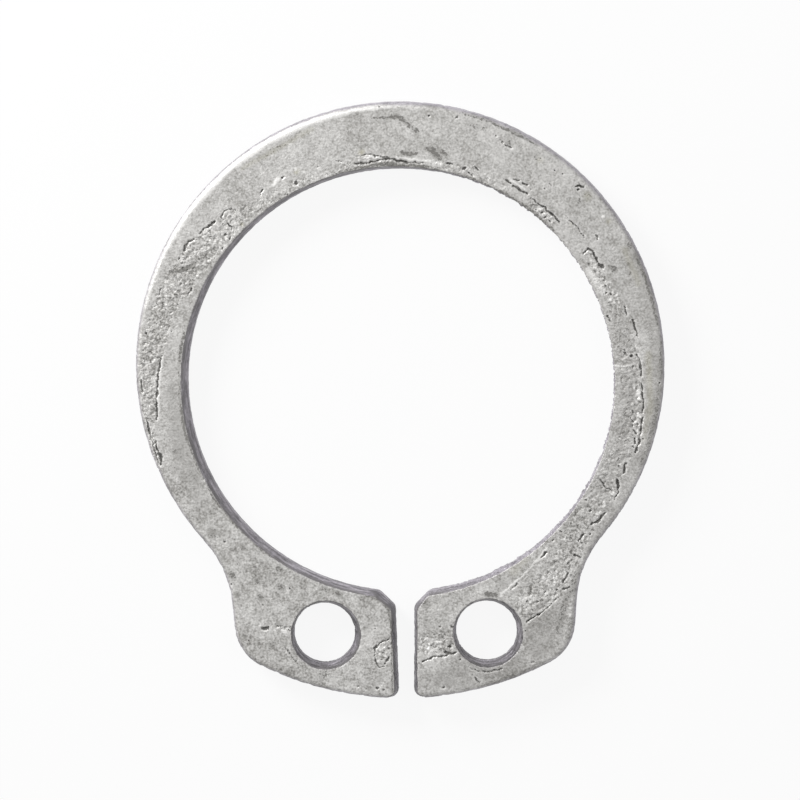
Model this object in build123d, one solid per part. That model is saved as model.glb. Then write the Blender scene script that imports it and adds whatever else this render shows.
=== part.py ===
from build123d import *

import math
import os

# External retaining ring for a groove in a 16 mm shaft. It is one piece of spring steel,
# punched as a ring that is widest opposite its gap, with a lug and a plier hole on each
# side of the gap. Millimetres and degrees. The origin is on the bore axis in the lower
# face, +Z is up and the lugs point along -Y.

thickness = 1.0

# The outer circle is set off from the bore, so the ring narrows towards the lugs.
bore_radius = 7.35
wide_section = 2.3
narrow_section = 1.23

# Both lugs end on one arc about the bore axis. Their sides lean in towards their tips.
lug_height = 3.68
lug_half_width = 5.88
lug_side_lean = 4.5
lug_neck_radius = 3.9
lug_corner_radius = 1.65
lug_side_flat = 0.1

# The plier holes sit in the middle of the lugs' height.
hole_radius = 1.05
hole_spacing = 5.62

# The gap widens towards the bore, where its corners are cut off and eased.
gap_mouth_width = 0.52
gap_root_width = 0.64
gap_corner_cut = 0.5
gap_corner_ease = 0.3
gap_mouth_sweep = 65.0

# The press leaves its marks on every edge. The outer edge is rolled over at the top.
# The bore, gap and holes were pierced from below: they are rolled over at the bottom,
# cut clean for a share of the thickness and torn wider from there to the top face.
outer_roll = 0.2
outer_break = 0.05
inner_roll = 0.08
inner_roll_angle = 45.0
clean_share = 0.45
bore_breakout = 0.12
hole_breakout = 0.15

# How far a punch runs past the faces that it goes through.
overrun = 0.1

lug_radius = bore_radius + lug_height
ring_radius = bore_radius + (wide_section + narrow_section) / 2
ring_offset = (wide_section - narrow_section) / 2
hole_circle_radius = bore_radius + lug_height / 2
hole_level = -math.sqrt(hole_circle_radius**2 - (hole_spacing / 2) ** 2)
clean_height = thickness * clean_share


def side_at(level):
    """Half width of the lugs' outline at a level on Y, before its corners are rounded."""
    return lug_half_width + (level - hole_level) * math.tan(math.radians(lug_side_lean))


def widest_neck():
    """Largest neck radius that still runs into the lug's side above the lug's corner."""
    lean = math.cos(math.radians(lug_side_lean))
    bore_to_side = side_at(0) * lean
    ring_to_side = side_at(ring_offset) * lean
    corner_reach = lug_radius - lug_corner_radius
    corner_start = math.sqrt(corner_reach**2 - (bore_to_side - lug_corner_radius) ** 2)
    room = corner_start + ring_offset * lean - lug_side_flat
    return (room**2 + ring_to_side**2 - ring_radius**2) / (2 * (ring_radius - ring_to_side))


def ring_outline():
    """Outer outline: an offset circle that blends into two lugs, drawn as one."""
    tip_level = -(lug_radius + overrun)
    left_side = [(-side_at(0), 0), (-side_at(tip_level), tip_level)]
    right_side = [(side_at(tip_level), tip_level), (side_at(0), 0)]
    with BuildSketch() as outline:
        with BuildLine():
            Polyline(*left_side, *right_side, close=True)
        make_face()
        Circle(lug_radius, mode=Mode.INTERSECT)
        with Locations((0, ring_offset)):
            Circle(ring_radius)
        necks = outline.vertices().sort_by(Axis.Y)[2:4]
        fillet(necks, min(lug_neck_radius, widest_neck()))
        tips = outline.vertices().sort_by(Axis.Y)[:2]
        fillet(tips, lug_corner_radius)
    return outline.sketch


def bore_and_gap_plan():
    """Plan of the opening that one punch makes: the bore, the gap and its corners."""
    cut_level = -bore_radius + gap_corner_ease
    cut_width = gap_root_width / 2 + gap_corner_cut + gap_corner_ease
    root = (gap_root_width / 2, -bore_radius - gap_corner_cut)
    turn = math.tan(math.radians(gap_mouth_sweep / 2))
    mouth = (gap_mouth_width / 2, -lug_radius + gap_corner_ease * (1 - turn))
    flare = 2 * gap_corner_ease
    drop = flare / math.tan(math.radians(gap_mouth_sweep))
    outside = (mouth[0] + flare, mouth[1] - drop)
    side = [(cut_width, cut_level), root, mouth, outside]
    other_side = [(-x, y) for x, y in reversed(side)]
    with BuildSketch() as plan:
        with BuildLine():
            Polyline(*side, *other_side, close=True)
        make_face()
        Circle(bore_radius)
        corners = plan.vertices().filter_by_position(Axis.Y, mouth[1], -bore_radius / 2)
        fillet(corners, gap_corner_ease)
    return plan.sketch


def punched(plan, breakout):
    """What a punch clears: a rolled entry, a clean straight wall and a torn, wider exit."""
    entry_depth = inner_roll + overrun
    torn_height = thickness - clean_height
    tear_angle = math.degrees(math.atan(breakout / torn_height))
    entry = extrude(Pos(Z=inner_roll) * plan, -entry_depth, taper=-inner_roll_angle)
    clean = extrude(Pos(Z=inner_roll) * plan, clean_height - inner_roll)
    torn = extrude(Pos(Z=clean_height) * plan, torn_height + overrun, taper=-tear_angle)
    return entry + clean + torn


def retaining_ring():
    ring = extrude(ring_outline(), thickness)
    ring = fillet(ring.edges().group_by(Axis.Z)[-1], outer_roll)
    ring = fillet(ring.edges().group_by(Axis.Z)[0], outer_break)
    ring -= punched(bore_and_gap_plan(), bore_breakout)
    for side in (-1, 1):
        hole_plan = Pos(side * hole_spacing / 2, hole_level) * Circle(hole_radius)
        ring -= punched(hole_plan, hole_breakout)
    return ring


os.makedirs("parts", exist_ok=True)
export_step(retaining_ring(), "parts/retaining_ring.step")
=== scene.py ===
# External retaining ring, punched from spring steel, dull grey and worn.
# The imported ring gives the shape. Here it gets its worn skin, its finish with some painted shade and painted
# highlights, a table and lights.
import math
import bpy
import bmesh
from mathutils import Matrix, Vector


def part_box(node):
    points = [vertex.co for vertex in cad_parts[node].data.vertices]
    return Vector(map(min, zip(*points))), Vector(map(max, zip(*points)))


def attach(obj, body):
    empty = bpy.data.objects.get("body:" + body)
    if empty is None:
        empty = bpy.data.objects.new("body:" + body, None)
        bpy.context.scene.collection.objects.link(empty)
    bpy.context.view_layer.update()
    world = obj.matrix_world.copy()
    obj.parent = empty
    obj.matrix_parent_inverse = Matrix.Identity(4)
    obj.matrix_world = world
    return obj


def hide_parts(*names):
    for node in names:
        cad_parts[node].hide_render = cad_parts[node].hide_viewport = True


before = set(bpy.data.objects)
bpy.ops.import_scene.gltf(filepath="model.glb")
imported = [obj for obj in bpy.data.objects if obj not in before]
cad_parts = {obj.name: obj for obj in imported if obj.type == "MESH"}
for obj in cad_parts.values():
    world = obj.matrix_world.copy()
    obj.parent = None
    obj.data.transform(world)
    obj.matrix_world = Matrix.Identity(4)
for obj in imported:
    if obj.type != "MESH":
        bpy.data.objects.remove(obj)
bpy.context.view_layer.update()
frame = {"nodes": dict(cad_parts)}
scene = bpy.context.scene
mm = 0.001                                  # the ring's skin is worked in millimetres, then brought back
print("loaded the frame:", ", ".join(frame["nodes"]))


class Wire:
    # one socket of a node tree, so that its arithmetic can be written as Python
    def __init__(self, tree, socket):
        self.tree = tree
        self.socket = socket

    def calc(self, operation, *values):
        settings = {"operation": operation}
        return addNode(self.tree, "ShaderNodeMath", settings, dict(enumerate(values)))

    def __add__(self, other):
        return self.calc("ADD", self, other)

    def __radd__(self, other):
        return self.calc("ADD", other, self)

    def __sub__(self, other):
        return self.calc("SUBTRACT", self, other)

    def __rsub__(self, other):
        return self.calc("SUBTRACT", other, self)

    def __mul__(self, other):
        return self.calc("MULTIPLY", self, other)

    def __rmul__(self, other):
        return self.calc("MULTIPLY", other, self)

    def __truediv__(self, other):
        return self.calc("DIVIDE", self, other)

    def __rtruediv__(self, other):
        return self.calc("DIVIDE", other, self)

    def lower(self, other):
        return self.calc("MINIMUM", self, other)

    def higher(self, other):
        return self.calc("MAXIMUM", self, other)

    def between(self, start, end):
        # 0 at start and 1 at end, with a soft ramp between; start may be the larger
        return addNode(self.tree, "ShaderNodeMapRange", {"interpolation_type": "SMOOTHSTEP"},
                       {0: self, 1: start, 2: end, 3: 0.0, 4: 1.0})


def addNode(tree, kind, settings=None, values=None, out=0):
    made = tree.nodes.new(kind)
    for name, value in (settings or {}).items():
        if name == "stops":
            while len(made.color_ramp.elements) < len(value):
                made.color_ramp.elements.new(0.5)
            for element, (place, colour) in zip(made.color_ramp.elements, value):
                element.position = place
                element.color = colour
        else:
            setattr(made, name, value)
    for name, value in (values or {}).items():
        if isinstance(value, Wire):
            tree.links.new(value.socket, made.inputs[name])
        else:
            made.inputs[name].default_value = value
    return Wire(tree, made.outputs[out]) if made.outputs else made


def directRays(tree):
    # 1 for the rays that the camera sends, straight or by way of a mirror or glass
    path = addNode(tree, "ShaderNodeLightPath")
    rays = {socket.name: Wire(tree, socket) for socket in path.socket.node.outputs}
    return rays["Is Camera Ray"].higher(rays["Is Glossy Ray"]).higher(rays["Is Transmission Ray"])


# The lens stands a little above and to the right of straight over the ring.
cameraSetup = {
    "leanRight": 2.5,        # degrees
    "leanUp": 6.8,
    "roll": 1.1,
    "aim": (-0.015, -0.643, 0.5),   # millimetres, in the view's own right and up, then height
    "distance": 200.0,
    "width": 27.6,           # what the view spans at the ring
    "sensor": 36.0,
    "near": 0.005,           # metres, as is the next
    "far": 5.0,
}


def placeCamera(setup):
    leans = [math.radians(setup[name]) for name in ("leanRight", "leanUp")]
    back = Vector((math.tan(leans[0]), math.tan(leans[1]), 1.0))
    back.normalize()
    roll = math.radians(setup["roll"])
    up = Vector((math.sin(roll), math.cos(roll), 0.0))
    up = (up - back * up.dot(back)).normalized()
    right = up.cross(back)
    acrossRight, acrossUp, height = setup["aim"]
    target = right * acrossRight + up * acrossUp + Vector((0, 0, height))
    data = bpy.data.cameras.new("overhead_camera")
    data.sensor_width = setup["sensor"]
    data.lens = data.sensor_width * setup["distance"] / setup["width"]
    data.clip_start = setup["near"]
    data.clip_end = setup["far"]
    made = bpy.data.objects.new("overhead_camera", data)
    scene.collection.objects.link(made)
    turn = Matrix((right, up, back)).transposed().to_4x4()
    made.matrix_world = Matrix.Translation((target + back * setup["distance"]) * mm) @ turn
    scene.camera = made


placeCamera(cameraSetup)
print("placed the camera")

# Wear on the upper face, with painted shade along some rims and a painted highlight along the upper-left outer
# edge. Each stroke is a row of places: degrees round from the right, radius, half width, strength. Radii and
# widths are in millimetres.
wearAndLightMarks = {
    # coarse granular scale
    "scale": [
        [(200, 8.8, 0.08, 0.8), (195, 8.8, 0.11, 1), (190, 8.8, 0.16, 1), (186, 8.74, 0.28, 1),
         (180, 8.7, 0.34, 1), (174, 8.66, 0.4, 1), (168, 8.56, 0.46, 1), (162, 8.53, 0.46, 1),
         (155, 8.4, 0.56, 1), (148, 8.2, 0.6, 1), (142, 8.05, 0.55, 1), (136, 7.95, 0.46, 0.9),
         (131, 7.85, 0.36, 0.7)],
        [(128, 7.75, 0.3, 0.6), (120, 7.7, 0.26, 0.6), (112, 7.65, 0.22, 0.5), (104, 7.65, 0.2, 0.5),
         (97, 7.7, 0.2, 0.6)],
        [(92, 7.62, 0.12, 0.6), (84, 7.6, 0.14, 0.6), (76, 7.66, 0.18, 0.7), (68, 7.68, 0.24, 0.7),
         (60, 7.6, 0.18, 0.5)],
        [(53, 7.68, 0.1, 0.8), (50, 7.7, 0.15, 1), (47, 7.74, 0.16, 1), (44.5, 7.75, 0.12, 0.9)],
        [(33, 7.85, 0.16, 0.8), (30, 7.85, 0.18, 1), (25, 7.8, 0.24, 1), (20, 7.9, 0.22, 0.9),
         (15, 7.85, 0.3, 0.5), (9, 7.9, 0.4, 0.6), (5, 7.95, 0.36, 0.9), (0, 7.95, 0.36, 0.7),
         (-4, 8.05, 0.36, 1), (-10, 8.1, 0.36, 1), (-15, 8.1, 0.36, 0.9), (-21, 8.0, 0.44, 0.8),
         (-27, 8.0, 0.46, 0.8), (-33, 7.95, 0.46, 0.7), (-39, 8.0, 0.5, 0.8), (-45, 8.25, 0.5, 0.9),
         (-50, 8.5, 0.55, 0.9), (-56, 8.75, 0.6, 0.9), (-61, 8.9, 0.6, 0.8)],
        [(273.6, 9.15, 0.34, 1), (277, 9.15, 0.42, 1), (279.6, 9.2, 0.4, 1)],
        [(264.4, 9.68, 0.16, 1), (265.2, 9.5, 0.22, 1), (266.2, 9.25, 0.2, 1), (267, 8.9, 0.12, 0.8)],
        [(242.5, 9.58, 0.08, 0.6), (244.8, 9.46, 0.1, 0.8)],
    ],
    # sharp dark crevices and pinholes
    "crevice": [
        [(187.3, 8.86, 0.05, 0.7), (189.3, 8.84, 0.07, 1), (191.7, 8.82, 0.05, 0.7), (195, 8.83, 0.05, 0.8),
         (197.4, 8.83, 0.06, 0.9)],
        [(192.5, 8.7, 0.04, 0.6), (194.4, 8.71, 0.07, 1), (196.3, 8.67, 0.1, 1), (197.5, 8.7, 0.09, 1),
         (198, 8.77, 0.06, 1)],
        [(172.7, 8.25, 0.05, 0.7), (175, 8.31, 0.055, 0.9), (178, 8.35, 0.07, 1), (182, 8.4, 0.07, 1),
         (185, 8.44, 0.07, 1), (188, 8.5, 0.05, 0.8)],
        [(147.4, 8.72, 0.07, 0.8), (146.6, 8.75, 0.1, 1), (145.3, 8.74, 0.08, 1), (144, 8.64, 0.06, 0.9)],
        [(142.2, 8.58, 0.06, 0.9), (140.2, 8.52, 0.09, 1), (138, 8.45, 0.08, 1)],
        [(136.3, 8.28, 0.05, 0.8), (136.1, 8.39, 0.06, 0.9), (134.5, 8.45, 0.05, 0.9), (132.9, 8.33, 0.05, 0.8),
         (132.4, 8.13, 0.05, 0.5)],
        [(135.7, 8.2, 0.05, 0.7), (136.1, 7.95, 0.07, 0.9), (136.4, 7.81, 0.06, 0.7)], [(138.5, 7.87, 0.1, 1)],
        [(141.3, 7.6, 0.1, 1)], [(138, 7.63, 0.08, 0.8)], [(143, 7.75, 0.06, 0.6)],
        [(154.4, 7.86, 0.08, 0.9), (156.7, 7.88, 0.06, 0.6)], [(149.6, 8.72, 0.07, 0.7)],
        [(169.3, 8.17, 0.06, 0.8)], [(166.3, 8.07, 0.06, 0.7)], [(158.4, 8.31, 0.05, 0.7)],
        [(162, 8.26, 0.05, 0.6)], [(151, 7.95, 0.06, 0.6)], [(154.9, 8.87, 0.06, 0.7)],
        [(157.5, 8.83, 0.06, 0.7), (159, 8.83, 0.06, 0.7)], [(161.6, 8.82, 0.07, 0.7)],
        [(164.8, 8.89, 0.06, 0.7)], [(167.9, 8.91, 0.07, 0.8)], [(171.7, 8.93, 0.06, 0.7)],
        [(175, 8.95, 0.05, 0.7)], [(178.4, 8.98, 0.05, 0.8), (181.3, 8.9, 0.05, 0.8)], [(118.4, 8.14, 0.09, 1)],
        [(124.1, 8.14, 0.07, 0.9), (125.2, 8.1, 0.06, 0.7), (125.5, 8.02, 0.05, 0.6)],
        [(115.9, 7.73, 0.11, 0.8)], [(109.5, 7.95, 0.06, 1)],
        [(105, 7.94, 0.05, 0.7), (103.5, 7.89, 0.05, 0.7)],
        [(99.8, 7.95, 0.05, 0.6), (97, 7.96, 0.06, 0.8), (94.5, 7.86, 0.06, 0.9), (91.6, 7.79, 0.06, 0.8)],
        [(100.4, 7.71, 0.06, 0.9), (97.2, 7.66, 0.08, 1), (94.6, 7.69, 0.06, 1), (92.8, 7.75, 0.08, 1),
         (90.7, 7.73, 0.08, 1), (88.6, 7.64, 0.08, 1), (86.2, 7.62, 0.06, 0.9), (82, 7.63, 0.05, 0.6)],
        [(93.1, 9.56, 0.06, 1)], [(104.9, 7.48, 0.07, 0.8)], [(122.8, 7.48, 0.07, 0.8)],
        [(119, 7.5, 0.06, 0.6)], [(76.6, 7.76, 0.06, 0.9), (75.2, 7.79, 0.06, 0.8)], [(72, 7.74, 0.1, 1)],
        [(70.6, 7.65, 0.06, 0.9), (69.2, 7.6, 0.05, 0.7)], [(70.2, 7.92, 0.05, 0.7), (68.6, 7.83, 0.06, 0.9)],
        [(67.7, 9.17, 0.06, 1)], [(66.8, 9.05, 0.05, 0.8), (65.2, 8.98, 0.06, 0.9), (63.8, 8.97, 0.06, 0.8)],
        [(76.8, 9.38, 0.06, 0.9)], [(82.7, 9.26, 0.06, 0.8)], [(53, 9.07, 0.07, 0.8)],
        [(51.2, 9.12, 0.06, 0.7)], [(56.9, 9.14, 0.05, 0.7)], [(61.5, 7.91, 0.07, 1), (60.2, 7.87, 0.08, 1)],
        [(59.7, 8.07, 0.06, 0.9), (58.6, 8.11, 0.07, 1)], [(57.6, 8.08, 0.06, 0.9), (56.4, 8.13, 0.08, 1)],
        [(59.2, 7.83, 0.07, 0.9), (57.6, 7.84, 0.09, 1), (56.6, 7.83, 0.07, 1), (55.2, 7.87, 0.09, 1)],
        [(54.8, 8.07, 0.06, 0.7)],
        [(53.8, 7.83, 0.05, 0.9), (51.9, 7.83, 0.05, 0.9), (49, 7.84, 0.06, 0.9), (46, 7.84, 0.07, 1),
         (44.2, 7.79, 0.06, 0.9)], [(50.6, 7.66, 0.06, 0.8)], [(48.9, 7.68, 0.06, 0.8)],
        [(47.4, 7.64, 0.06, 0.8)], [(45.8, 7.67, 0.06, 0.8)], [(52.2, 8.6, 0.05, 0.7), (51.4, 8.57, 0.05, 0.7)],
        [(52.3, 8.38, 0.05, 0.7)], [(47.4, 9.12, 0.06, 0.8), (46.9, 9.2, 0.09, 1), (46, 9.27, 0.07, 0.9)],
        [(46.4, 9.06, 0.07, 0.9)],
        [(44.8, 8.1, 0.04, 0.5), (42.1, 8.12, 0.05, 0.8), (39, 8.11, 0.05, 0.7), (37.2, 8.09, 0.04, 0.7)],
        [(36.5, 8.45, 0.06, 0.9), (35.1, 8.44, 0.05, 0.7)],
        [(34.4, 7.77, 0.06, 0.8), (34.8, 7.95, 0.07, 1), (33.6, 8.05, 0.07, 1), (31.9, 8.01, 0.08, 1),
         (30.1, 7.97, 0.1, 1), (28.9, 8.05, 0.1, 1)], [(25.8, 7.86, 0.07, 0.9)], [(24.5, 7.84, 0.07, 0.9)],
        [(22.7, 7.77, 0.07, 0.9)], [(22, 7.88, 0.06, 0.8)], [(18.2, 8.18, 0.05, 0.8), (16.1, 8.15, 0.06, 0.8)],
        [(16.9, 7.58, 0.07, 0.9), (15.3, 7.6, 0.06, 0.7)],
        [(14.4, 8.3, 0.06, 0.8), (12.6, 8.32, 0.08, 1), (10.6, 8.34, 0.08, 0.9)], [(14, 8.65, 0.05, 0.6)],
        [(7.6, 7.84, 0.07, 0.8), (6.6, 7.82, 0.06, 0.6), (5.9, 7.9, 0.08, 0.8)], [(5.6, 8.03, 0.08, 1)],
        [(6, 8.2, 0.07, 0.9), (4.4, 8.29, 0.06, 0.9), (0.8, 8.31, 0.07, 0.9)], [(3.1, 8.03, 0.07, 0.7)],
        [(-0.8, 8.32, 0.05, 0.8), (-3.6, 8.36, 0.06, 1), (-6, 8.4, 0.05, 0.8), (-7, 8.42, 0.06, 1),
         (-8.4, 8.41, 0.05, 0.7)],
        [(-9, 8.43, 0.06, 1), (-10.5, 8.42, 0.05, 0.8), (-12, 8.45, 0.06, 1), (-13.2, 8.43, 0.05, 0.8),
         (-14.4, 8.47, 0.07, 1), (-15.8, 8.47, 0.06, 0.9), (-17.2, 8.45, 0.09, 1)], [(-4.4, 8.2, 0.05, 0.8)],
        [(-5.6, 8.3, 0.05, 0.7)], [(-6.2, 8.1, 0.05, 0.7)], [(-7.5, 8.03, 0.05, 0.8), (-8.4, 8.1, 0.05, 0.8)],
        [(-9.6, 8.06, 0.06, 0.9), (-10.4, 8.14, 0.05, 0.7)], [(-11.4, 8.12, 0.06, 0.9)],
        [(-12.2, 8.2, 0.06, 1), (-13, 8.3, 0.05, 0.7)], [(-13.6, 8.2, 0.05, 0.8)],
        [(-14.4, 8.3, 0.07, 1), (-15.6, 8.34, 0.06, 0.9)], [(-16.4, 8.34, 0.06, 0.9)],
        [(-10.8, 8.3, 0.05, 0.8)], [(-8.6, 8.24, 0.05, 0.7)], [(-14, 8.57, 0.07, 0.9)],
        [(-16, 8.73, 0.05, 0.6)], [(-0.9, 8.93, 0.07, 0.9)],
        [(-20.4, 8.26, 0.07, 0.9), (-22.9, 8.29, 0.08, 0.9)],
        [(-21.5, 8.05, 0.06, 0.7), (-22, 8.12, 0.06, 0.7)],
        [(-25, 8.17, 0.08, 0.9), (-26.1, 8.31, 0.09, 1), (-27.7, 8.41, 0.06, 0.9), (-29.5, 8.42, 0.07, 0.8)],
        [(-26.5, 7.61, 0.05, 0.6), (-27.9, 7.92, 0.06, 0.9), (-28, 8.2, 0.06, 0.8)],
        [(-33.4, 8.41, 0.06, 0.9), (-34.8, 8.33, 0.1, 1), (-36.2, 8.34, 0.1, 1), (-37.5, 8.2, 0.08, 0.9)],
        [(-32.9, 7.63, 0.08, 1)], [(-35.5, 7.66, 0.07, 0.8)], [(-35, 7.9, 0.07, 0.8)],
        [(-40.6, 8.2, 0.07, 0.8), (-42.5, 8.24, 0.08, 0.9)], [(-39.8, 8.4, 0.08, 0.9)],
        [(-42.4, 8.35, 0.08, 0.9)], [(-45.8, 8.5, 0.09, 0.9), (-45.2, 8.68, 0.09, 1)], [(-48, 8.52, 0.08, 0.8)],
        [(-49.8, 8.8, 0.1, 0.9), (-51.8, 8.9, 0.09, 0.9)], [(-43.5, 7.62, 0.08, 1)], [(-46.6, 7.63, 0.07, 0.9)],
        [(-50, 7.73, 0.07, 1), (-52, 7.8, 0.06, 0.9)], [(305.9, 8.99, 0.08, 1)],
        [(308.4, 9.17, 0.1, 1), (307.2, 9.1, 0.07, 0.8)], [(299, 8.09, 0.07, 0.8), (297, 8.14, 0.05, 0.6)],
        [(301, 8.94, 0.07, 0.8)], [(299, 8.74, 0.06, 0.7)], [(299.1, 9.1, 0.06, 0.7)],
        [(303.5, 8.8, 0.06, 0.6)],
        [(305.4, 9.22, 0.04, 0.7), (301.5, 9.33, 0.04, 0.7), (298.2, 9.37, 0.06, 0.9),
         (296.4, 9.38, 0.09, 0.9)], [(295.2, 9.62, 0.06, 0.8)],
        [(273.6, 9.74, 0.06, 1), (274.5, 9.72, 0.06, 1), (275.8, 9.6, 0.05, 0.9), (278, 9.64, 0.06, 0.9),
         (280.1, 9.57, 0.07, 1)], [(278.1, 8.6, 0.07, 0.9)], [(280.2, 8.64, 0.08, 0.9), (281, 8.75, 0.07, 0.9)],
        [(279.3, 9.31, 0.07, 1)], [(278.3, 9.49, 0.08, 1), (279.2, 9.57, 0.08, 1)], [(280.7, 9.83, 0.06, 0.9)],
        [(282.4, 10.18, 0.05, 0.7), (283.8, 10.38, 0.05, 0.9), (285.6, 10.49, 0.05, 0.9),
         (288.2, 10.52, 0.05, 0.9)], [(282.6, 10.45, 0.05, 0.5), (283.8, 10.78, 0.09, 0.7)],
        [(294.2, 10.73, 0.08, 0.8)],
        [(266.3, 8.95, 0.05, 0.8), (265.4, 9.02, 0.05, 0.7), (264.3, 9.12, 0.05, 0.7), (263.5, 9.3, 0.07, 0.9),
         (263.7, 9.6, 0.05, 0.6), (264.3, 9.84, 0.06, 0.9), (265, 9.94, 0.05, 0.7), (265.6, 9.9, 0.05, 0.7)],
        [(266.6, 9.57, 0.08, 1), (265.8, 9.82, 0.06, 0.9)], [(266.5, 9.28, 0.07, 0.9)],
        [(265.3, 9.42, 0.05, 0.8)], [(265, 9.68, 0.05, 0.7)],
        [(241, 9.57, 0.04, 0.5), (243.5, 9.43, 0.04, 0.8), (246, 9.3, 0.04, 0.9)],
        [(239.6, 9.81, 0.09, 1), (240.9, 9.72, 0.1, 1)], [(243.2, 9.52, 0.05, 0.8)], [(244.4, 9.5, 0.05, 0.8)],
        [(244.5, 10.03, 0.04, 0.5), (246.3, 10.16, 0.05, 0.7), (247.7, 10.34, 0.05, 0.7),
         (249.5, 10.52, 0.04, 0.5)], [(229.2, 9.15, 0.06, 1)], [(230.2, 9.34, 0.06, 0.9)],
        [(237.9, 7.5, 0.07, 0.9)], [(240.8, 8.15, 0.06, 1)], [(237.3, 9.09, 0.05, 0.9)],
        [(238.6, 10.4, 0.06, 0.8)], [(261, 10.68, 0.07, 0.9)], [(262.6, 10.76, 0.06, 0.7)],
        [(264.7, 10.67, 0.08, 0.9)], [(265.8, 10.71, 0.07, 0.9)], [(263.1, 8.6, 0.05, 0.7)],
        [(221.2, 8.23, 0.06, 0.9)], [(207.4, 8.68, 0.06, 0.8)], [(219.4, 8.3, 0.05, 0.6)],
        [(277, 10.72, 0.07, 0.7)],
    ],
    # soft dark smears, and painted shade along the rims that turn from the lamps
    "smear": [
        # the first two strokes: painted shade along the upper rim of the bore
        [(106, 7.5, 0.08, 0.5), (100, 7.55, 0.12, 0.8), (95, 7.58, 0.14, 1), (90, 7.56, 0.15, 1),
         (84, 7.52, 0.12, 0.9), (78, 7.5, 0.1, 0.7)],
        [(74, 7.5, 0.1, 0.7), (66, 7.5, 0.11, 0.8), (58, 7.5, 0.12, 0.8), (50, 7.52, 0.14, 0.9),
         (44, 7.5, 0.1, 0.7), (38, 7.45, 0.08, 0.5)], [(228, 8.9, 0.22, 0.8)], [(231.5, 9.3, 0.16, 0.7)],
        [(236, 8.9, 0.2, 0.8)], [(225.5, 7.9, 0.16, 0.8)], [(243, 10.2, 0.2, 0.6)], [(254, 10.5, 0.3, 0.5)],
        [(95, 9.18, 0.04, 0.6), (91.1, 9.15, 0.1, 0.9), (89.7, 9.2, 0.14, 1), (88.4, 9.1, 0.14, 1),
         (87.1, 8.92, 0.1, 0.8), (85.3, 8.71, 0.13, 0.8)],
        [(88.2, 7.92, 0.12, 1), (86.7, 7.92, 0.13, 1), (84.6, 7.94, 0.07, 0.7)],
        [(82.5, 8.15, 0.12, 0.9), (81, 8.12, 0.18, 1), (80, 7.99, 0.2, 1), (78.8, 7.9, 0.13, 1)],
        [(79.2, 8.12, 0.12, 0.7), (77.6, 8.03, 0.11, 0.7)],
        [(153.3, 8.75, 0.1, 0.7), (151.8, 8.5, 0.12, 0.9), (149.6, 8.2, 0.16, 0.9), (148.6, 8.15, 0.1, 0.7)],
        [(196.3, 8.14, 0.2, 0.5)], [(198, 8.04, 0.14, 0.5)], [(199.6, 8.42, 0.22, 0.4)],
        [(204.2, 7.8, 0.2, 0.4)], [(217.8, 8.36, 0.28, 0.5)], [(227.2, 8.43, 0.2, 0.4)],
        [(233.4, 8.51, 0.15, 0.8)], [(236.4, 7.69, 0.2, 0.8)], [(239, 8.24, 0.2, 0.6)],
        [(253.1, 7.65, 0.16, 0.8)], [(249.6, 7.62, 0.12, 0.6)], [(291, 7.9, 0.16, 1), (293, 8.07, 0.16, 0.8)],
        [(275.6, 7.66, 0.22, 0.7)], [(46.6, 9.18, 0.2, 0.8)], [(44, 9.12, 0.26, 0.4)], [(44.6, 8.8, 0.12, 0.6)],
        [(64.6, 9.08, 0.16, 0.6)], [(27.1, 8.37, 0.15, 1), (28.2, 8.3, 0.12, 0.8)], [(28.6, 8.2, 0.09, 0.6)],
        [(26.7, 8.85, 0.12, 0.6)], [(24.9, 8.75, 0.12, 0.6)], [(30, 9.2, 0.14, 0.7)], [(58, 9.13, 0.2, 0.4)],
        [(74, 9.23, 0.14, 0.3), (70.8, 9.23, 0.14, 0.4)], [(62.2, 9.19, 0.14, 0.4)],
        [(120, 9.1, 0.15, 0.4), (112, 9.2, 0.15, 0.35)],
        [(8, 9.1, 0.12, 0.5), (0, 8.95, 0.1, 0.5), (-11.4, 8.84, 0.12, 0.7), (-20, 8.75, 0.1, 0.4)],
        [(28, 9.2, 0.08, 0.6), (23, 9.2, 0.1, 0.9), (19, 9.14, 0.1, 0.9), (12, 9.08, 0.08, 0.6)],
        [(78, 9.57, 0.05, 0.6), (70, 9.53, 0.06, 0.9), (65, 9.48, 0.07, 1), (60, 9.46, 0.06, 0.8)],
        # painted shade along the left rim of the bore
        [(166, 7.56, 0.1, 0.8), (171, 7.57, 0.12, 0.9), (176, 7.55, 0.06, 0.6), (183, 7.54, 0.06, 0.7),
         (188, 7.54, 0.1, 1), (192, 7.56, 0.12, 1), (195, 7.53, 0.09, 1), (199, 7.5, 0.07, 0.9),
         (203, 7.49, 0.06, 0.7), (208, 7.49, 0.06, 0.7), (212, 7.52, 0.08, 0.9), (215, 7.48, 0.08, 0.9),
         (220, 7.47, 0.09, 1), (225, 7.46, 0.08, 0.9), (231, 7.46, 0.08, 0.9), (236, 7.45, 0.07, 0.8)],
        # these two strokes: painted shade along the lugs' edges by the gap
        [(260.1, 7.46, 0.05, 0.6), (264, 7.58, 0.07, 0.9), (265.8, 7.82, 0.09, 1), (266.8, 8.31, 0.07, 0.9),
         (267.2, 9, 0.06, 0.8), (267.3, 9.89, 0.06, 0.8), (267.6, 10.9, 0.06, 0.8)],
        [(273, 7.95, 0.05, 0.6), (272.4, 8.72, 0.05, 0.6), (272, 9.63, 0.06, 0.8), (272, 10.4, 0.07, 0.9)],
        [(313, 8.9, 0.14, 0.5), (308, 9.3, 0.16, 0.5), (304, 9.75, 0.2, 0.5), (301.5, 10.2, 0.25, 0.4)],
    ],
    # a painted highlight along the upper-left outer edge, and burnished specks, ridges and scratches
    "bright": [
        # painted highlight along the upper-left outer edge
        [(90, 9.56, 0.1, 0.3), (98, 9.54, 0.16, 0.7), (108, 9.52, 0.2, 0.9), (118, 9.48, 0.2, 1),
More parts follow.
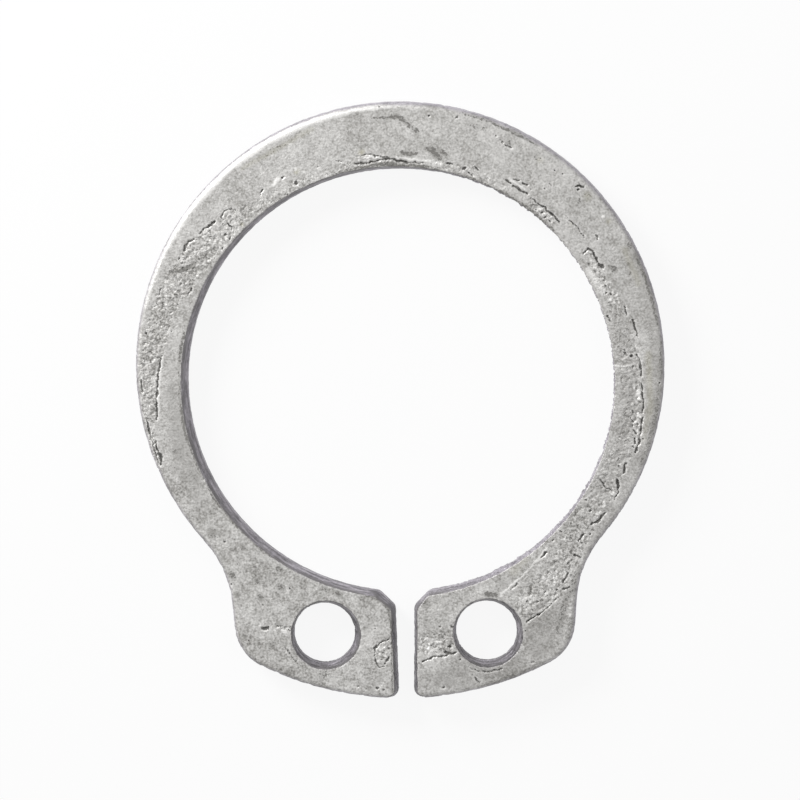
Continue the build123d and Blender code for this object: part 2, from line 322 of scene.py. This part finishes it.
         (128, 9.43, 0.2, 1), (140, 9.36, 0.18, 0.8), (152, 9.27, 0.14, 0.5), (162, 9.19, 0.1, 0.3)],
        [(121.6, 8.07, 0.06, 1), (119.6, 8.16, 0.07, 1)], [(114.6, 8.19, 0.07, 0.8)],
        [(113.2, 7.97, 0.06, 0.7)], [(98, 7.84, 0.05, 0.7), (93, 7.86, 0.05, 0.6)],
        [(89.5, 7.79, 0.05, 0.8), (86, 7.73, 0.06, 0.8), (81.7, 7.73, 0.06, 0.8), (77.6, 7.71, 0.05, 0.7)],
        [(61, 8.0, 0.05, 0.7), (58, 7.95, 0.05, 0.7), (55.6, 7.97, 0.05, 0.6)], [(38.5, 9.06, 0.1, 1)],
        [(48, 7.72, 0.05, 0.8)], [(46.6, 7.75, 0.05, 0.8)], [(49.8, 7.74, 0.05, 0.8)],
        [(29.5, 7.62, 0.14, 0.5), (26, 7.66, 0.16, 0.6), (23, 7.7, 0.12, 0.6)], [(20.9, 7.8, 0.07, 1)],
        [(21.4, 8.06, 0.06, 1)], [(19.4, 8.04, 0.05, 0.8)], [(23.8, 7.96, 0.06, 0.9)],
        [(24.8, 8.03, 0.05, 0.8)], [(31.5, 7.86, 0.06, 0.8)], [(29.8, 7.83, 0.06, 0.8)],
        [(3.9, 7.42, 0.06, 1), (3.6, 7.6, 0.05, 0.9), (3.4, 7.8, 0.04, 0.7), (3.6, 8.0, 0.04, 0.7)],
        [(-3, 8.2, 0.1, 0.9), (-4.4, 8.24, 0.1, 0.9)], [(-5.6, 8.16, 0.07, 0.9)], [(-8.6, 8.27, 0.08, 1)],
        [(-10.6, 8.22, 0.06, 0.8)], [(-12.4, 8.32, 0.07, 1)], [(-7.3, 7.49, 0.07, 1)], [(-2, 8.05, 0.06, 0.7)],
        [(-31.2, 8.17, 0.07, 0.9), (-32, 8.19, 0.06, 0.9)],
        [(-33.8, 8.22, 0.06, 0.9), (-34.8, 8.16, 0.06, 0.9)],
        [(-49.2, 7.66, 0.045, 1), (-52, 7.74, 0.05, 1), (-54.5, 7.8, 0.03, 0.6)],
        [(-55, 7.82, 0.04, 0.6), (-59, 7.93, 0.05, 1), (-63, 8.03, 0.055, 1), (-66.2, 8.16, 0.05, 0.9)],
        [(305.3, 9.17, 0.03, 0.6), (301.5, 9.28, 0.04, 0.7), (297.8, 9.32, 0.04, 0.6)],
        [(304.9, 9.97, 0.08, 1)], [(206, 7.49, 0.06, 1)], [(284.6, 7.42, 0.16, 0.5)],
        [(243.8, 9.58, 0.07, 0.9)], [(242.2, 9.66, 0.06, 0.8)], [(245, 9.5, 0.06, 0.8)],
        [(239, 9.78, 0.05, 0.7)], [(264.6, 9.3, 0.07, 0.9)], [(265.6, 9.25, 0.06, 0.9)],
        [(264.6, 9.75, 0.06, 0.9)], [(265.9, 9.55, 0.06, 0.9)], [(264.5, 9.5, 0.05, 0.8)],
        [(274.8, 8.95, 0.06, 0.8)], [(276.4, 9.35, 0.06, 0.9)], [(275, 9.3, 0.05, 0.8)],
        [(277.6, 9.1, 0.06, 0.8)], [(276, 9.02, 0.05, 0.8)],
        [(290.2, 10.1, 0.05, 0.7), (291.4, 10.02, 0.05, 0.7)],
        [(171.8, 8.17, 0.04, 0.5), (176, 8.26, 0.05, 0.6), (182, 8.33, 0.05, 0.6), (187, 8.41, 0.05, 0.5)],
    ],
    # broad dull patches
    "dull": [
        [(174, 7.75, 0.3, 0.3), (182, 7.8, 0.45, 0.8), (192, 7.9, 0.6, 1), (202, 7.95, 0.6, 0.9),
         (212, 8.0, 0.5, 0.5)], [(301, 9.3, 0.6, 0.7), (298.5, 9.9, 0.9, 0.9), (296.5, 10.4, 0.8, 0.8)],
        [(291, 10.4, 0.6, 0.9), (284, 10.4, 0.7, 0.9), (277, 10.4, 0.7, 0.9)],
        [(30, 9.1, 0.3, 0.5), (15, 9.0, 0.4, 0.6), (0, 8.9, 0.35, 0.6), (-14, 8.7, 0.35, 0.7),
         (-28, 8.5, 0.3, 0.6), (-42, 8.6, 0.3, 0.5)],
        [(18, 7.9, 0.3, 0.4), (4, 7.95, 0.4, 0.7), (-8, 8.05, 0.4, 0.8), (-18, 8.0, 0.4, 0.8),
         (-30, 7.95, 0.35, 0.5)],
    ],
    # yellowish stains
    "stain": [
        [(98.2, 8.04, 0.16, 1)], [(114.8, 8.1, 0.15, 1)], [(133.4, 7.68, 0.12, 0.6)], [(44, 9.12, 0.25, 0.5)],
        [(37, 9.1, 0.16, 0.6)], [(57, 9.08, 0.16, 0.5)], [(42, 8.05, 0.1, 0.5)],
        [(30, 9.0, 0.2, 0.4), (22, 8.9, 0.2, 0.4)],
        [(6, 8.6, 0.2, 0.5), (-6, 8.65, 0.2, 0.5), (-14, 8.6, 0.15, 0.3)],
        [(125, 9.15, 0.15, 0.4), (108, 9.25, 0.15, 0.4)], [(300, 7.65, 0.25, 0.4), (305, 7.55, 0.2, 0.4)],
    ],
}

# how soft each kind of mark is at its rim: the share of its half width that fades
markFade = {"scale": 0.3, "crevice": 0.6, "smear": 0.8, "bright": 0.7, "dull": 0.8, "stain": 1.0}

skin = {
    "voxel": 0.034,          # millimetres between points before thinning
    "mostTriangles": 190000,  # the aim, which the points spared below keep it from reaching
    "keepFactor": 0.5,       # how much the upper face and the walls are spared
    "weld": 0.0000001,       # metres between points that are made one
    "markStep": 0.02,        # between the places that stand for a stroke
    "wanderSize": 0.16,      # the blotches of the ragged outlines, the tears and the nicks
    "tearSize": 0.14,
    "nickSize": 0.22,
    "brightRise": 0.01,      # how far a burnished ridge stands up
    "gapShade": 1.9,         # painted shade: how much darker than the bore the gap and the plier holes are
    "holeShade": 1.8,
    "Sink": 0.012,           # how far the upper and lower faces lie inside the punched shape
    "Grain Size": 0.11,
    "Grain Depth": 0.006,
    "Scale Size": 0.14,
    "Scale Depth": 0.034,
    "Crevice Depth": 0.06,
    "Crevice Width": 0.7,    # share of the half widths given above
    "Ragged": 0.2,           # how far the marks' outlines wander
    "Wall Tear": 0.012,
    "Bore Drift": 0.085,     # how far the punch leaned to the left as it broke through the bore
    "Hole Drift": 0.08,      # and to the right in the plier holes
    "Edge Wear": 0.03,       # nicks along the outer edge
    "Bore Wear": 0.085,      # ragged wear on the right of the bore
    "Seed": 4.0,
}
# the bore, and the plier holes as places across and up with a radius, all in millimetres
boreRadius = 7.35
holePlaces = ((-2.81, -8.75, 1.05), (2.81, -8.75, 1.05))


def markObject(kind, strokes):
    # a wire mesh of the strokes, with each place's half width and strength
    points, edges, reach, strength = [], [], [], []
    for stroke in strokes:
        places = stroke if len(stroke) > 1 else [stroke[0], (stroke[0][0] + 0.15,) + stroke[0][1:]]
        for step, (degrees, radius, halfWidth, force) in enumerate(places):
            if step:
                edges.append((len(points) - 1, len(points)))
            turn = math.radians(degrees)
            points.append((radius * math.cos(turn), radius * math.sin(turn), 0.0))
            reach.append(halfWidth)
            strength.append(force)
    mesh = bpy.data.meshes.new("marks_" + kind)
    mesh.from_pydata(points, edges, [])
    for name, values in (("reach", reach), ("strength", strength)):
        mesh.attributes.new(name, "FLOAT", "POINT").data.foreach_set("value", values)
    made = bpy.data.objects.new("marks_" + kind, mesh)
    scene.collection.objects.link(made)
    return made


def newInput(tree, name, kind, value=None):
    socket = tree.interface.new_socket(name, in_out="INPUT", socket_type=kind)
    if value is not None:
        socket.default_value = value
    return socket


def buildSkinTree(setup, marks):
    tree = bpy.data.node_groups.new("wornSkin", "GeometryNodeTree")
    newInput(tree, "Geometry", "NodeSocketGeometry")
    for name, value in setup.items():
        if name[0].isupper():
            newInput(tree, name, "NodeSocketFloat", value)
    for kind in marks:
        newInput(tree, kind, "NodeSocketObject")
    newInput(tree, "Finish", "NodeSocketMaterial")
    tree.interface.new_socket("Geometry", in_out="OUTPUT", socket_type="NodeSocketGeometry")
    entry = tree.nodes.new("NodeGroupInput")
    given = {socket.name: Wire(tree, socket) for socket in entry.outputs if socket.name}

    def add(kind, settings=None, values=None, out=0):
        return addNode(tree, kind, settings, values, out)

    def vector(operation, *values):
        return add("ShaderNodeVectorMath", {"operation": operation}, dict(enumerate(values)))

    def scaled(value, factor):
        return add("ShaderNodeVectorMath", {"operation": "SCALE"}, {0: value, "Scale": factor})

    def split(value):
        parts = add("ShaderNodeSeparateXYZ", None, {0: value})
        return [Wire(tree, socket) for socket in parts.socket.node.outputs]

    def noise(place, size, detail=2.0, rough=0.5, shift=0.0, out=0):
        # soft noise, with blotches about the given size across
        return add("ShaderNodeTexNoise", {"noise_dimensions": "4D"},
                   {"Vector": place, "W": given["Seed"] + shift, "Scale": 1.0 / size, "Detail": detail,
                    "Roughness": rough}, out)

    place = add("GeometryNodeInputPosition")
    normal = add("GeometryNodeInputNormal")
    x, y, z = split(place)
    lookUp = split(normal)[2]
    upper = lookUp.between(0.35, 0.85)
    steep = lookUp.calc("ABSOLUTE", lookUp).between(0.8, 0.3)

    # where each kind of mark is: 1 in its middle and 0 beyond its half width
    flat = add("ShaderNodeCombineXYZ", None, {0: x, 1: y})
    wander = vector("SUBTRACT", noise(flat, setup["wanderSize"], 2.0, 0.6, 1.0, out=1), (0.5, 0.5, 0.5))
    ragged = vector("ADD", flat, vector("MULTIPLY", scaled(wander, given["Ragged"]), (1.0, 1.0, 0.0)))
    widths = {"crevice": given["Crevice Width"]}
    found = {}
    for kind in marks:
        strokes = add("GeometryNodeObjectInfo", None, {"Object": given[kind]}, out="Geometry")
        curve = add("GeometryNodeMeshToCurve", None, {0: strokes})
        points = add("GeometryNodeCurveToPoints", {"mode": "LENGTH"},
                     {"Curve": curve, "Length": setup["markStep"]})
        nearest = add("GeometryNodeSampleNearest", {"domain": "POINT"}, {0: points, 1: ragged})

        def sample(dataType, name=None):
            if name:
                value = add("GeometryNodeInputNamedAttribute", {"data_type": dataType}, {"Name": name})
            else:
                value = add("GeometryNodeInputPosition")
            return add("GeometryNodeSampleIndex", {"data_type": dataType, "domain": "POINT"},
                       {0: points, 1: value, 2: nearest})

        gap = vector("SUBTRACT", sample("FLOAT_VECTOR"), ragged)
        distance = add("ShaderNodeVectorMath", {"operation": "LENGTH"}, {0: gap}, out="Value")
        reach = sample("FLOAT", "reach") * widths.get(kind, 1.0)
        closeness = 1.0 - distance / reach
        found[kind] = closeness.between(0.0, markFade[kind]) * sample("FLOAT", "strength") * upper
        if kind == "crevice":
            # a pale ring round each crevice: painted highlight
            found["lip"] = (closeness.between(-1.2, -0.2) - found[kind]).higher(0.0) * upper

    grain = noise(place, given["Grain Size"], 3.0, 0.6, 2.0)
    lumps = noise(place, given["Scale Size"], 3.0, 0.65, 3.0)
    torn = noise(vector("MULTIPLY", place, (1.0, 1.0, 0.3)), setup["tearSize"], 3.0, 0.6, 6.0)
    beyond = (x * x + y * y).calc("SQRT", x * x + y * y) - boreRadius      # how far out from the bore
    right = x.between(0.5, 4.5) * steep * beyond.between(0.5, 0.2)
    depth = given["Sink"] * (1.0 - steep) + given["Grain Depth"] * grain * (1.0 - 0.6 * steep)
    depth = depth + given["Scale Depth"] * lumps.between(0.4, 0.64) * found["scale"]
    depth = depth + given["Crevice Depth"] * found["crevice"] * lumps.between(0.32, 0.58)
    depth = depth - setup["brightRise"] * found["bright"]
    depth = depth + given["Wall Tear"] * steep * torn.between(0.35, 0.75)
    depth = depth + given["Bore Wear"] * right * torn.between(0.35, 0.6)
    nicks = noise(vector("MULTIPLY", place, (1.0, 1.0, 0.5)), setup["nickSize"], 3.0, 0.6, 8.0)
    outer = beyond.between(0.9, 1.1) * lookUp.calc("ABSOLUTE", lookUp).between(0.98, 0.75)
    depth = depth + given["Edge Wear"] * outer * nicks.between(0.5, 0.68)
    offset = scaled(normal, depth * -1.0)

    # the upper rims lean over, as the punch did
    high = z.between(0.35, 0.95)
    offset = vector("ADD", offset, add("ShaderNodeCombineXYZ", None,
                                       {0: given["Bore Drift"] * -1.0 * high * beyond.between(0.6, 0.12)}))
    # painted shade on the walls that turn from the lamps: the left of the bore, the gap and the plier holes
    inGap = x.calc("ABSOLUTE", x).between(0.7, 0.5) * y.between(-6.0, -6.5)
    pierced = (beyond.between(0.6, 0.4) * x.between(4.5, 0.5)).higher(inGap * setup["gapShade"])
    for across, up, radius in holePlaces:
        dx, dy = x - across, y - up
        rim = (dx * dx).calc("SQRT", dx * dx + dy * dy) - radius
        pierced = pierced.higher(rim.between(0.4, 0.25) * setup["holeShade"])
        offset = vector("ADD", offset, add("ShaderNodeCombineXYZ", None,
                                           {0: given["Hole Drift"] * high * rim.between(0.55, 0.15)}))

    skinned = given["Geometry"]
    stored = dict(found, wall=steep, pierced=pierced * steep, keep=0.7 + 0.3 * upper.higher(steep))
    for name, value in stored.items():
        skinned = add("GeometryNodeStoreNamedAttribute", {"data_type": "FLOAT", "domain": "POINT"},
                      {"Geometry": skinned, "Name": name, "Value": value})
    moved = add("GeometryNodeSetPosition", None, {"Geometry": skinned, "Offset": offset})
    sized = add("GeometryNodeTransform", None, {"Geometry": moved, "Scale": (mm, mm, mm)})
    smooth = add("GeometryNodeSetShadeSmooth", {"domain": "FACE"}, {"Geometry": sized})
    whole = add("GeometryNodeRealizeInstances", None, {"Geometry": smooth})
    finished = add("GeometryNodeSetMaterial", None,
                   {"Geometry": whole, "Material": given["Finish"]})
    leave = tree.nodes.new("NodeGroupOutput")
    tree.links.new(finished.socket, leave.inputs[0])
    return tree


def plainMesh(piece):
    # the evaluated shape as a plain mesh, with the modifiers gone
    evaluated = piece.evaluated_get(bpy.context.evaluated_depsgraph_get())
    made = bpy.data.meshes.new_from_object(evaluated)
    piece.modifiers.clear()
    piece.data = made


def makeRing(node, setup, marks, finish):
    mesh = node.data.copy()
    work = bmesh.new()
    work.from_mesh(mesh)
    bmesh.ops.remove_doubles(work, verts=work.verts, dist=setup["weld"])
    bmesh.ops.scale(work, vec=(1 / mm, 1 / mm, 1 / mm), verts=work.verts)
    work.to_mesh(mesh)
    work.free()
    mesh.materials.clear()
    ring = bpy.data.objects.new("spring_ring", mesh)
    scene.collection.objects.link(ring)
    dense = ring.modifiers.new("dense", "REMESH")
    dense.mode = "VOXEL"
    dense.voxel_size = setup["voxel"]
    plainMesh(ring)
    print("dense skin:", len(ring.data.vertices), "points")
    ring.vertex_groups.new(name="keep")          # the upper face and the walls keep their points
    markObjects = {kind: markObject(kind, strokes) for kind, strokes in marks.items()}
    tree = buildSkinTree(setup, marks)
    worn = ring.modifiers.new("worn", "NODES")
    worn.node_group = tree
    for item in tree.interface.items_tree:
        if item.in_out == "INPUT" and item.name in markObjects:
            worn[item.identifier] = markObjects[item.name]
        elif item.in_out == "INPUT" and item.name == "Finish":
            worn[item.identifier] = finish
        elif item.in_out == "INPUT" and item.name in setup:
            worn[item.identifier] = setup[item.name]
    plainMesh(ring)
    print("worn skin:", len(ring.data.vertices), "points")
    thin = ring.modifiers.new("thin", "DECIMATE")
    thin.ratio = setup["mostTriangles"] / (2 * len(ring.data.polygons))
    thin.vertex_group = "keep"
    thin.invert_vertex_group = True
    thin.vertex_group_factor = setup["keepFactor"]
    plainMesh(ring)
    lookingUp = sum(face.normal.z > 0.7 for face in ring.data.polygons)
    print("thinned skin:", len(ring.data.polygons), "faces,", lookingUp, "of them looking up")
    for made in markObjects.values():
        bpy.data.objects.remove(made)
    return ring


finish = {
    "metal": 0.35,
    "roughness": 0.5,
    "bump": 0.00002,         # metres
    "contrast": 1.0,
    # how large the blotches of each pattern are, in millimetres
    "dust": 0.075,           # fine speckle
    "grains": 0.15,
    "patches": 0.7,
    "clouds": 3.0,
    "pinholes": 0.12,
    "specks": 0.3,           # dark worn-in dirt
    "strands": 0.12,         # streaks along the walls
    # colours by tone, for the faces and for the walls
    "faceTones": [(0.0, (0.09, 0.086, 0.08, 1)), (0.35, (0.33, 0.322, 0.306, 1)),
                  (0.5, (0.46, 0.452, 0.438, 1)), (0.7, (0.6, 0.592, 0.575, 1)),
                  (1.0, (0.85, 0.845, 0.83, 1))],
    "wallTones": [(0.0, (0.07, 0.066, 0.07, 1)), (0.3, (0.19, 0.178, 0.195, 1)),
                  (0.5, (0.37, 0.347, 0.382, 1)), (1.0, (0.7, 0.68, 0.72, 1))],
    "dirtColour": (0.17, 0.162, 0.15, 1),
    # what is laid over the steel's colour, dirt and wear but also painted shade and painted highlights: how
    # much it covers, and its colour
    "layers": {
        # painted shade: a dark band along the top of the shaded walls
        "rim_shade": (0.75, (0.1, 0.094, 0.092, 1)),
        "holes": (0.55, (0.06, 0.056, 0.05, 1)),
        # smears, and painted shade along some rims
        "smudge_and_shade": (0.8, (0.09, 0.086, 0.077, 1)),
        "dull": (0.5, (0.27, 0.262, 0.25, 1)),
        "stain": (0.45, (0.36, 0.34, 0.22, 1)),
        # painted highlight round the crevices
        "lip": (0.25, (0.8, 0.79, 0.77, 1)),
        # painted highlight along the upper-left outer edge, and burnished specks
        "bright": (0.8, (0.9, 0.89, 0.87, 1)),
        "cut": (0.76, (0.035, 0.032, 0.028, 1)),
    },
}


def steelFinish(setup):
    material = bpy.data.materials.new("wornSteelWithPaintedLight")
    material.use_nodes = True
    tree = material.node_tree
    shader = tree.nodes["Principled BSDF"]

    def add(kind, settings=None, values=None, out=0):
        return addNode(tree, kind, settings, values, out)

    def attribute(name):
        return add("ShaderNodeAttribute", {"attribute_name": name}, out="Fac")

    def noise(place, size, detail=2.0, rough=0.5):
        return add("ShaderNodeTexNoise", None,
                   {"Vector": place, "Scale": 1.0 / size, "Detail": detail, "Roughness": rough})

    def blend(factor, first, second):
        return add("ShaderNodeMix", {"data_type": "RGBA"}, {0: factor, 6: first, 7: second}, out=2)

    def ramp(value, stops):
        return add("ShaderNodeValToRGB", {"stops": stops}, {0: value})

    def cover(colour, where, layer):
        share, paint = setup["layers"][layer]
        return blend(where * share, colour, paint)

    corner = add("ShaderNodeTexCoord", out="Object")
    place = add("ShaderNodeVectorMath", {"operation": "SCALE"}, {0: corner, "Scale": 1000.0})
    split = add("ShaderNodeSeparateXYZ", None, {0: place})
    height = Wire(tree, split.socket.node.outputs[2])
    lugward = Wire(tree, split.socket.node.outputs[1]).between(4.0, -7.0)
    scale, crevice, lip = attribute("scale"), attribute("crevice"), attribute("lip")
    smear, bright = attribute("smear"), attribute("bright")
    dull, stain = attribute("dull"), attribute("stain")
    wall, pierced = attribute("wall"), attribute("pierced")

    dust = noise(place, setup["dust"], 1.0, 0.5)
    grains = noise(place, setup["grains"], 2.0, 0.6)
    patches = noise(place, setup["patches"], 3.0, 0.55)
    clouds = noise(place, setup["clouds"], 2.0, 0.5)
    pinholes = noise(place, setup["pinholes"], 1.0, 0.4)
    specks = noise(place, setup["specks"], 3.0, 0.7)
    drawn = add("ShaderNodeVectorMath", {"operation": "MULTIPLY"}, {0: place, 1: (0.16, 0.16, 1.0)})
    strands = noise(drawn, setup["strands"], 3.0, 0.65)

    rough = 0.7 + 0.25 * lugward + 0.35 * scale
    tone = 0.5 + ((dust - 0.5) * 0.6 + (grains - 0.5) * 0.8) * rough * setup["contrast"]
    tone = tone + (patches - 0.5) * (0.4 + 0.25 * lugward) + (clouds - 0.5) * (0.25 + 0.15 * lugward)
    face = ramp(tone, setup["faceTones"])
    tornLine = height.between(0.5, 0.42)
    # the walls that turn from the lamps are painted darker: painted shade
    wallTone = 0.47 - 0.11 * pierced + (strands - 0.5) * (0.75 + 0.5 * pierced)
    wallTone = wallTone + (grains - 0.5) * 0.5 + (patches - 0.5) * 0.35 + 0.05 * tornLine
    side = ramp(wallTone, setup["wallTones"])
    colour = blend(wall, face, side)
    # painted shade: a dark band along the top of the shaded walls
    rim_shade = height.between(0.6, 0.92) * pierced.between(0.2, 0.8) * patches.between(0.36, 0.56)
    colour = cover(colour, rim_shade, "rim_shade")
    dirt = specks.between(0.55, 0.75) * clouds.between(0.36, 0.6)
    colour = blend(dirt * (0.22 + 0.2 * lugward), colour, setup["dirtColour"])
    holes = pinholes.between(0.61, 0.7) * (0.15 + 0.85 * scale)
    colour = cover(colour, holes, "holes")
    # smears, and painted shade along the rims of the bore and the lugs' edges by the gap
    smudge_and_shade = (smear * 1.1 + (grains - 0.5) * 2.4 + (dust - 0.5) * 2.2).between(0.3, 1.0)
    smudge_and_shade = smudge_and_shade * smear.between(0.0, 0.3)
    colour = cover(colour, smudge_and_shade, "smudge_and_shade")
    colour = cover(colour, dull, "dull")
    colour = cover(colour, stain, "stain")
    # painted highlight round the crevices
    colour = cover(colour, lip, "lip")
    # painted highlight along the upper-left outer edge, and burnished specks and scratches
    colour = cover(colour, bright.lower(1.0), "bright")
    cut = (crevice * 1.1 + (dust - 0.5) * 1.2 + (grains - 0.5) * 0.9).between(0.45, 0.9)
    cut = cut * crevice.between(0.0, 0.2)
    colour = cover(colour, cut, "cut")
    tree.links.new(colour.socket, shader.inputs["Base Color"])
    roughness = setup["roughness"] + (grains - 0.5) * 0.3 + 0.12 * scale + 0.3 * cut - 0.15 * bright
    tree.links.new(roughness.socket, shader.inputs["Roughness"])
    shader.inputs["Metallic"].default_value = setup["metal"]
    relief = dust * 0.5 + grains * (0.6 + 0.8 * scale) - holes * 0.8 - cut
    bump = add("ShaderNodeBump", None, {"Height": relief, "Distance": setup["bump"], "Strength": 1.0})
    tree.links.new(bump.socket, shader.inputs["Normal"])
    return material


ring = makeRing(frame["nodes"]["retaining_ring"], skin, wearAndLightMarks, steelFinish(finish))
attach(ring, "root")
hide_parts("retaining_ring")
print("made the ring")

# A pale table that stays white to the eye and keeps a faint shadow.
tableSetup = {
    "size": 0.6,
    "drop": 0.00002,         # just under the ring
    "paint": 0.8,
    "glow": 0.9,             # how much of what the camera sees is even white
}


def makeTable(setup):
    half = setup["size"] / 2
    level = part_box("retaining_ring")[0].z - setup["drop"]
    mesh = bpy.data.meshes.new("pale_table")
    corners = ((-half, -half), (half, -half), (half, half), (-half, half))
    mesh.from_pydata([(x, y, level) for x, y in corners], [], [(0, 1, 2, 3)])
    table = bpy.data.objects.new("pale_table", mesh)
    scene.collection.objects.link(table)
    material = bpy.data.materials.new("paleTable")
    material.use_nodes = True
    tree = material.node_tree
    tree.nodes.clear()
    seen = directRays(tree)
    paint = addNode(tree, "ShaderNodeBsdfDiffuse", None, {"Color": (setup["paint"],) * 3 + (1.0,)})
    glow = addNode(tree, "ShaderNodeEmission", None, {"Color": (1.0, 1.0, 1.0, 1.0), "Strength": 1.0})
    lit = addNode(tree, "ShaderNodeMixShader", None, {0: seen * setup["glow"], 1: paint, 2: glow})
    clear = addNode(tree, "ShaderNodeBsdfTransparent")
    under = addNode(tree, "ShaderNodeNewGeometry", out="Backfacing")
    oneSided = addNode(tree, "ShaderNodeMixShader", None, {0: under, 1: lit, 2: clear})
    addNode(tree, "ShaderNodeOutputMaterial", None, {0: oneSided})
    mesh.materials.append(material)


makeTable(tableSetup)

# Soft studio light: a big panel high on the left, a weaker one on the right, and an even white room.
roomSetup = {"ambient": 0.4}
lampSetup = {
    # name: place in millimetres, size, power in watts
    "key_panel": ((-62, 62, 43), 45, 0.114),
    "fill_panel": ((80, 20, 110), 90, 0.022),
}


def lightRoom(room, lamps):
    world = bpy.data.worlds.new("whiteRoom")
    scene.world = world
    world.use_nodes = True
    tree = world.node_tree
    tree.nodes.clear()
    seen = directRays(tree)
    strength = room["ambient"] + (1.0 - room["ambient"]) * seen
    glow = addNode(tree, "ShaderNodeBackground", None, {"Color": (1.0, 1.0, 1.0, 1.0), "Strength": strength})
    addNode(tree, "ShaderNodeOutputWorld", None, {0: glow})
    for name, (place, size, power) in lamps.items():
        data = bpy.data.lights.new(name, "AREA")
        data.shape = "DISK"
        data.size = size * mm
        data.energy = power
        lamp = bpy.data.objects.new(name, data)
        scene.collection.objects.link(lamp)
        lamp.location = Vector(place) * mm
        lamp.rotation_euler = Vector(place).to_track_quat("Z", "Y").to_euler()


lightRoom(roomSetup, lampSetup)
scene.view_settings.view_transform = "Standard"
print("lit the room")
